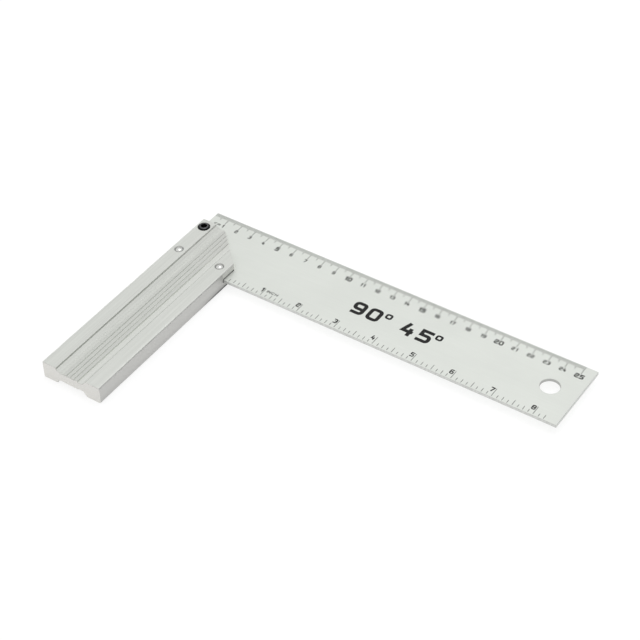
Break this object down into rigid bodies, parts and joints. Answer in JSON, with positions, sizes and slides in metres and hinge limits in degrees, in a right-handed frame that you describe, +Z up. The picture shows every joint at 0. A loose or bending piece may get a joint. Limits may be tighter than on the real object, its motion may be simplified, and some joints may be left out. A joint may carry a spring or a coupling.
{
  "type": "try and mitre square",
  "caption": "Fixed-blade try square: flat ruled blade with a hang hole in a ribbed aluminium stock with a mitred corner, trued on a rivet and held by a socket screw.",
  "frame": {"origin": "centre of the object's outline, on the face of the stock that it lies on", "axes": "+X along the blade to its tip, +Y from the stock's free end to the blade's outer edge, +Z up out of the face that carries the screw head"},
  "size_m": [0.2578, 0.1616, 0.012],
  "materials": {
    "stock_aluminium": "satin extruded, clear anodised",
    "blade_aluminium": "fine matt anodised, printed in black",
    "rivet_metal": "bright plated",
    "black_screw": "black oxide, semi-gloss",
    "black_ink": "screen-printed ink of the scales, on the visual model only"
  },
  "bodies": {
    "stock": {"stock": "stock_aluminium", "pivot_rivet": "rivet_metal", "steady_rivet": "rivet_metal"},
    "blade": {"blade": "blade_aluminium"},
    "clamp_screw": {"clamp_screw": "black_screw"}
  },
  "joints": [
    {"name": "blade_truing", "type": "hinge", "parent": "stock", "child": "blade", "pos_m": [-0.0947, 0.0367, 0.0056], "axis": [0, 0, 1], "range_deg": [-0.5, 0.5]},
    {"name": "clamp_screw_turn", "type": "hinge", "parent": "stock", "child": "clamp_screw", "pos_m": [-0.12415, 0.0612, 0.0056], "axis": [0, 0, 1], "range_deg": [0, 90]}
  ]
}
